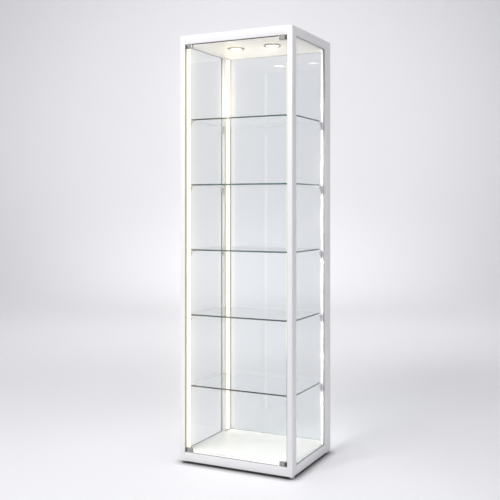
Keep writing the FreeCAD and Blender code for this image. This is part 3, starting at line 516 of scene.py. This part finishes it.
class TOWER_OT_panels(Operator):
    """Finish the floor, the ceiling and the top cover"""

    bl_idname = "tower.panels"
    bl_label = "Panels"

    def execute(self, context):
        finish = context.scene.tower_finish
        laminate = surface("panel_laminate", finish.panel_white, roughness=0.24, grain=0.0024, depth=0.00002,
                           vary=0.015, gloss_vary=0.04)
        coat(laminate, ["floor_panel", "ceiling_panel"])
        cover = surface("cover_white", finish.frame_white, roughness=0.5, grain=finish.coat_grain,
                        depth=0.00004, vary=0.015)
        coat(cover, ["top_cover"])
        return {"FINISHED"}


class TOWER_OT_glazing(Operator):
    """Finish the panes, the shelves and their rubber"""

    bl_idname = "tower.glazing"
    bl_label = "Glazing"

    def execute(self, context):
        finish = context.scene.tower_finish
        for name, axis, pieces in (("side_glass", "X", ["left_pane", "right_pane"]),
                                   ("back_glass", "Y", ["back_pane", "door_glass"]),
                                   ("shelf_glass", "Z", SHELVES)):
            coat(glass(name, finish.glass_face, finish.glass_edge, finish.glass_shade, axis), pieces)
        rubber = surface("grey_rubber", finish.rubber_grey, roughness=0.62, grain=0.0009, depth=0.00003,
                         vary=0.06)
        coat(rubber, ["left_gasket", "right_gasket", "dust_seals"])
        pale = surface("pale_rubber", finish.rubber_pale, roughness=0.6, grain=0.0009, depth=0.00003,
                       vary=0.05)
        coat(pale, ["back_gasket"])
        pads = surface("soft_pads", finish.pad_clear, roughness=0.35, grain=0.0012, depth=0.00001, vary=0.05)
        coat(pads, ["shelf_pads"])
        return {"FINISHED"}


def add_clamp_shade_bands():
    """Add the dark bands round the outer ends of the door clamps, painted shade for the gap between each
    clamp and its post.
    """
    bands = []
    for node in CLAMPS:
        low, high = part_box(node)
        if low.x < 0.0:
            high.x = low.x + BAND_WIDTH
        else:
            low.x = high.x - BAND_WIDTH
        grow = Vector((BAND_PROUD, BAND_PROUD, -BAND_SHORT))
        bands.append(add_block(f"{node}_band", low - grow, high + grow, BAND_ROUND))
    return join("clamp_shade_bands", bands)


def add_door_seals(height):
    """Add the seals over and under the door, which end short of its clamps."""
    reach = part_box("upper_catch_clip")[0].x - SEAL_GAP
    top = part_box("top_front_rail")[0]
    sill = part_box("bottom_front_rail")[1]
    over = add_block("door_top_seal", (-reach, top.y + SEAL_FRONT, top.z - height),
                     (reach, top.y + TOP_SEAL_BACK, top.z + SEAL_SEAT), TOP_SEAL_ROUND, taper=TOP_SEAL_TAPER)
    under = add_block("door_sill_seal", (-reach, top.y + SEAL_FRONT, sill.z - SEAL_SEAT),
                      (reach, top.y + SILL_SEAL_BACK, sill.z + SILL_SEAL_HEIGHT), SILL_SEAL_ROUND)
    return over, under


class TOWER_OT_door(Operator):
    """Finish the clamps and the catches of the door"""

    bl_idname = "tower.door"
    bl_label = "Door"

    def execute(self, context):
        finish = context.scene.tower_finish
        satin = surface("satin_clamp", finish.clamp_metal, roughness=0.34, grain=0.0007, depth=0.00001,
                        metallic=1.0, stretch=(16.0, 1.0, 1.0))
        for node in CLAMPS:
            worked_copy(node, "door", satin, finish.clamp_round, outer_edges(*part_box(node)))
        # The near-black finish of the clamp bands is painted shade for the gap at the post.
        dark = surface("clamp_end_shade", finish.end_shade_dark, roughness=0.55, grain=0.0008, depth=0.00002, vary=0.1)
        finish_piece(add_clamp_shade_bands(), "door", dark)
        # The seals' dark grey is partly their own and partly painted shade for the shadow lines along the
        # rails.
        seal = surface("seal_rubber_and_shade", finish.seal_and_shade_grey, roughness=0.6, grain=0.0009, depth=0.00003, vary=0.06)
        for piece in add_door_seals(finish.seal_height):
            finish_piece(piece, "case", seal)
        magnet = surface("magnet_case", finish.bare_metal, roughness=0.45, grain=0.001, depth=0.00002,
                         metallic=0.6)
        coat(magnet, ["catch_magnets"])
        return {"FINISHED"}


def add_bar_ends():
    """Add the caps that close both ends of each light bar."""
    caps = []
    for corner in CORNERS:
        low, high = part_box(f"{corner}_opal_cover")
        inward = END_PROUD if high.x < 0.0 else -END_PROUD
        ends = (("low", low.z, low.z + END_HEIGHT), ("high", high.z - END_HEIGHT, high.z))
        for level, start, end in ends:
            first = Vector((low.x + min(inward, 0.0), low.y - END_PROUD, start))
            last = Vector((high.x + max(inward, 0.0), high.y + END_PROUD, end))
            caps.append(add_block(f"{corner}_{level}_end", first, last, END_ROUND))
    return join("bar_ends", caps)


class TOWER_OT_lights(Operator):
    """Finish the light bars, the downlights and what feeds them"""

    bl_idname = "tower.lights"
    bl_label = "Lights"

    def execute(self, context):
        finish = context.scene.tower_finish
        opal = glowing("opal_cover", finish.opal_milk, finish.bar_glow, finish.bar_strength)
        coat(opal, [f"{corner}_opal_cover" for corner in CORNERS])
        ends = surface("bar_ends", finish.bar_end_grey, roughness=0.45, grain=0.001, depth=0.00002, vary=0.05)
        finish_piece(add_bar_ends(), "case", ends)
        lens = glowing("lamp_lens", finish.opal_milk, finish.lamp_glow, finish.lamp_strength)
        coat(lens, ["downlight_lenses"])
        ring = surface("lamp_ring", finish.ring_metal, roughness=0.22, grain=0.0008, depth=0.00001,
                       metallic=1.0)
        coat(ring, ["downlight_rings"])
        tape = surface("led_tape", finish.tape_yellow, roughness=0.45, grain=0.006, depth=0.00005, vary=0.12)
        coat(tape, ["led_tapes"])
        plastic = surface("white_plastic", finish.white_plastic, roughness=0.42, grain=0.002, depth=0.00003)
        coat(plastic, ["downlight_cans", "led_driver"])
        black = surface("black_plastic", finish.black_plastic, roughness=0.4, grain=0.001, depth=0.00002,
                        vary=0.15)
        coat(black, ["power_inlet", "internal_cables"])
        return {"FINISHED"}


class TOWER_OT_feet(Operator):
    """Finish the levelling feet"""

    bl_idname = "tower.feet"
    bl_label = "Feet"

    def execute(self, context):
        finish = context.scene.tower_finish
        grey = surface("foot_grey", finish.foot_grey, roughness=0.5, grain=0.0012, depth=0.00004, vary=0.08)
        coat(grey, [f"{corner}_foot" for corner in CORNERS])
        return {"FINISHED"}


def studio_paper(stage):
    """Return matt paper with a painted contact shadow: its colour darkens where something stands close over
    it.
    """
    paper = surface("studio_paper", stage.stage_white, roughness=0.7, grain=0.01, depth=0.0001, vary=0.004,
                    gloss_vary=0.03, cloud=1.5)
    tree = paper.node_tree
    shader = tree.nodes["Principled BSDF"]
    colour = shader.inputs["Base Color"].links[0].from_socket
    # Painted contact shadow: ambient occlusion darkens the paper's colour near the case.
    open_sky = tree.nodes.new("ShaderNodeAmbientOcclusion")
    open_sky.inputs["Distance"].default_value = stage.shadow_reach
    depth = tree.nodes.new("ShaderNodeMath")
    depth.operation = "POWER"
    depth.inputs[1].default_value = stage.shadow_depth
    tree.links.new(open_sky.outputs["AO"], depth.inputs[0])
    shadow = tree.nodes.new("ShaderNodeMix")
    shadow.data_type = "RGBA"
    shadow.inputs["A"].default_value = (0.0, 0.0, 0.0, 1.0)
    tree.links.new(depth.outputs["Value"], shadow.inputs["Factor"])
    tree.links.new(colour, shadow.inputs["B"])
    tree.links.new(shadow.outputs["Result"], shader.inputs["Base Color"])
    return paper


def add_backdrop(stage):
    """Add a round floor whose rim curves up into a wall on every side."""
    deselect()
    bpy.ops.mesh.primitive_circle_add(vertices=STAGE_CORNERS, radius=stage.floor_radius, fill_type="NGON")
    bowl = bpy.context.active_object
    bowl.name = "studio_floor"
    bpy.ops.object.mode_set(mode="EDIT")
    bpy.ops.mesh.select_mode(type="EDGE")
    bpy.ops.mesh.select_all(action="SELECT")
    bpy.ops.mesh.extrude_edges_move(TRANSFORM_OT_translate={"value": (0.0, 0.0, stage.wall_height)})
    bpy.ops.object.mode_set(mode="OBJECT")
    for edge in bowl.data.edges:
        edge.select = all(bowl.data.vertices[index].co.z < FLOOR_NEAR for index in edge.vertices)
    bpy.ops.object.mode_set(mode="EDIT")
    bpy.ops.mesh.bevel(offset=stage.cove_radius, segments=COVE_STEPS)
    bpy.ops.object.mode_set(mode="OBJECT")
    bpy.ops.object.shade_smooth()
    bowl.data.materials.append(studio_paper(stage))


def add_lamp(kind, name, place, aim, power):
    """Add a lamp that looks at a point and is itself out of the picture."""
    bpy.ops.object.light_add(type=kind, location=place)
    lamp = bpy.context.active_object
    lamp.name = name
    lamp.rotation_euler = (Vector(aim) - Vector(place)).to_track_quat("-Z", "Y").to_euler()
    lamp.data.energy = power
    lamp.visible_camera = False
    lamp.visible_transmission = False
    return lamp


def add_panel_light(name, place, aim, power, width, height):
    """Add a flat soft light."""
    lamp = add_lamp("AREA", name, place, aim, power)
    lamp.data.shape = "RECTANGLE"
    lamp.data.size = width
    lamp.data.size_y = height
    return lamp


def add_spot(name, place, aim, power, angle):
    """Add a spot that fades out from its middle."""
    lamp = add_lamp("SPOT", name, place, aim, power)
    lamp.data.spot_size = angle
    lamp.data.spot_blend = 1.0
    lamp.data.shadow_soft_size = SPOT_RADIUS


def add_spills(stage):
    """Add the spots for the light that leaves the case through its side panes."""
    sides = (("left_spill", -1.0, stage.left_spill_power), ("right_spill", 1.0, stage.right_spill_power))
    for name, way, power in sides:
        turn = Vector((way, 1.0, 1.0))
        place = Vector(stage.spill_place) * turn
        aim = Vector(stage.spill_aim) * turn
        add_spot(name, place, aim, power, stage.spill_angle)


def add_lamp_images(stage):
    """Add the discs that show only as images of the downlights in the panes."""
    low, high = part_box("downlight_lenses")
    width = high.y - low.y
    for name, across in (("left", low.x + width / 2), ("right", high.x - width / 2)):
        place = Vector((across, (low.y + high.y) / 2, low.z - LIGHT_GAP))
        below = place - Vector((0.0, 0.0, 1.0))
        disc = add_panel_light(f"{name}_lamp_image", place, below, stage.image_power, width, width)
        disc.data.shape = "DISK"
        disc.visible_diffuse = False


def light_only(lamp, piece):
    """Let a lamp light one piece alone."""
    lit = bpy.data.collections.new(f"{lamp.name}_on")
    lit.objects.link(bpy.data.objects[piece])
    lamp.light_linking.receiver_collection = lit


def add_case_lights(stage):
    """Add the light that the bars and the floor panel shed inside the case, unseen in the glass."""
    lamps = []
    for corner in CORNERS:
        low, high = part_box(f"{corner}_opal_cover")
        place = (low + high) / 2
        place.x = (high.x + LIGHT_GAP) if place.x < 0.0 else (low.x - LIGHT_GAP)
        aim = (0.0, place.y, place.z)
        lamps.append(add_panel_light(f"{corner}_bar_light", place, aim, stage.bar_power, high.y - low.y,
                                     high.z - low.z))
    for corner, power in (("back_left", stage.left_post_power), ("back_right", stage.right_post_power)):
        low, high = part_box(f"{corner}_post")
        lit = Vector(((low.x + high.x) / 2, low.y, (low.z + high.z) / 2))
        inward, forward = POST_LAMP_STEP
        stand = Vector((math.copysign(inward, lit.x), forward, 0.0))
        lamp = add_panel_light(f"{corner}_post_light", lit - stand, lit, power, POST_LAMP_WIDTH,
                               high.z - low.z - POST_LAMP_SHORT)
        light_only(lamp, f"worked_{corner}_post")
        lamps.append(lamp)
    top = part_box(SHELVES[-1])[1].z
    lamps.append(add_panel_light("ceiling_bounce", (*BOUNCE_MIDDLE, top + LIGHT_GAP),
                                 (*BOUNCE_MIDDLE, top + 1.0), stage.bounce_power, *BOUNCE_SIZE))
    for lamp in lamps:
        lamp.data.color = stage.case_light
        lamp.visible_glossy = False


def add_glow(scene, stage):
    """Let bright lamps glow a little into what lies round them."""
    scene.use_nodes = True
    tree = scene.node_tree
    tree.nodes.clear()
    layers = tree.nodes.new("CompositorNodeRLayers")
    glare = tree.nodes.new("CompositorNodeGlare")
    glare.glare_type = "BLOOM"
    glare.inputs["Threshold"].default_value = GLOW_LOW
    glare.inputs["Clamp"].default_value = True
    glare.inputs["Maximum"].default_value = GLOW_HIGH
    glare.inputs["Tint"].default_value = [part * stage.glow_strength for part in stage.glow_tint] + [1.0]
    glare.inputs["Size"].default_value = stage.glow_size
    result = tree.nodes.new("CompositorNodeComposite")
    tree.links.new(layers.outputs["Image"], glare.inputs["Image"])
    tree.links.new(glare.outputs["Image"], result.inputs["Image"])


class TOWER_OT_stage(Operator):
    """Set up the studio: backdrop, soft light, camera and a little glow"""

    bl_idname = "tower.stage"
    bl_label = "Studio"

    def execute(self, context):
        scene = context.scene
        stage = scene.tower_stage
        add_backdrop(stage)
        middle = (CAD_BOX[0] + CAD_BOX[1]) / 2
        add_panel_light("key_light", stage.key_place, middle, stage.key_power, stage.key_size, stage.key_size)
        add_panel_light("fill_light", stage.fill_place, middle, stage.fill_power, stage.fill_size,
                        stage.fill_size)
        add_spot("wall_spot", stage.wall_place, stage.wall_aim, stage.wall_power, stage.wall_angle)
        add_spot("floor_spot", stage.pool_place, stage.pool_aim, stage.pool_power, stage.pool_angle)
        add_spot("far_spot", stage.far_place, stage.far_aim, stage.far_power, stage.far_angle)
        add_spills(stage)
        add_lamp_images(stage)
        add_case_lights(stage)
        world = bpy.data.worlds.new("studio_sky")
        world.use_nodes = True
        sky = world.node_tree.nodes["Background"]
        sky.inputs["Color"].default_value = (*stage.sky_white, 1.0)
        sky.inputs["Strength"].default_value = stage.sky_strength
        scene.world = world
        bpy.ops.object.camera_add(location=stage.camera_place, rotation=(math.pi / 2, 0.0, stage.camera_turn))
        camera = context.active_object
        camera.data.lens = stage.camera_lens
        camera.data.shift_y = stage.camera_drop
        scene.camera = camera
        scene.view_settings.view_transform = "Standard"
        add_glow(scene, stage)
        return {"FINISHED"}


OPERATORS = (TOWER_OT_frame, TOWER_OT_panels, TOWER_OT_glazing, TOWER_OT_door, TOWER_OT_lights, TOWER_OT_feet,
             TOWER_OT_stage)


class TOWER_PT_sidebar(Panel):
    """List the steps that dress the tower"""

    bl_idname = "TOWER_PT_sidebar"
    bl_label = "Display Tower"
    bl_space_type = "VIEW_3D"
    bl_region_type = "UI"
    bl_category = "Tower"

    def draw(self, context):
        for operator in OPERATORS:
            self.layout.operator(operator.bl_idname)


CLASSES = (TowerFinish, TowerStage, *OPERATORS, TOWER_PT_sidebar)


def register():
    """Register the classes and hang the settings on the scene."""
    for cls in CLASSES:
        bpy.utils.register_class(cls)
    bpy.types.Scene.tower_finish = PointerProperty(type=TowerFinish)
    bpy.types.Scene.tower_stage = PointerProperty(type=TowerStage)


def unregister():
    """Undo register."""
    del bpy.types.Scene.tower_stage
    del bpy.types.Scene.tower_finish
    for cls in reversed(CLASSES):
        bpy.utils.unregister_class(cls)


def main():
    """Dress the tower step by step."""
    register()
    bpy.ops.tower.frame()
    bpy.ops.tower.panels()
    bpy.ops.tower.glazing()
    bpy.ops.tower.door()
    bpy.ops.tower.lights()
    bpy.ops.tower.feet()
    bpy.ops.tower.stage()


if __name__ == "__main__":
    main()
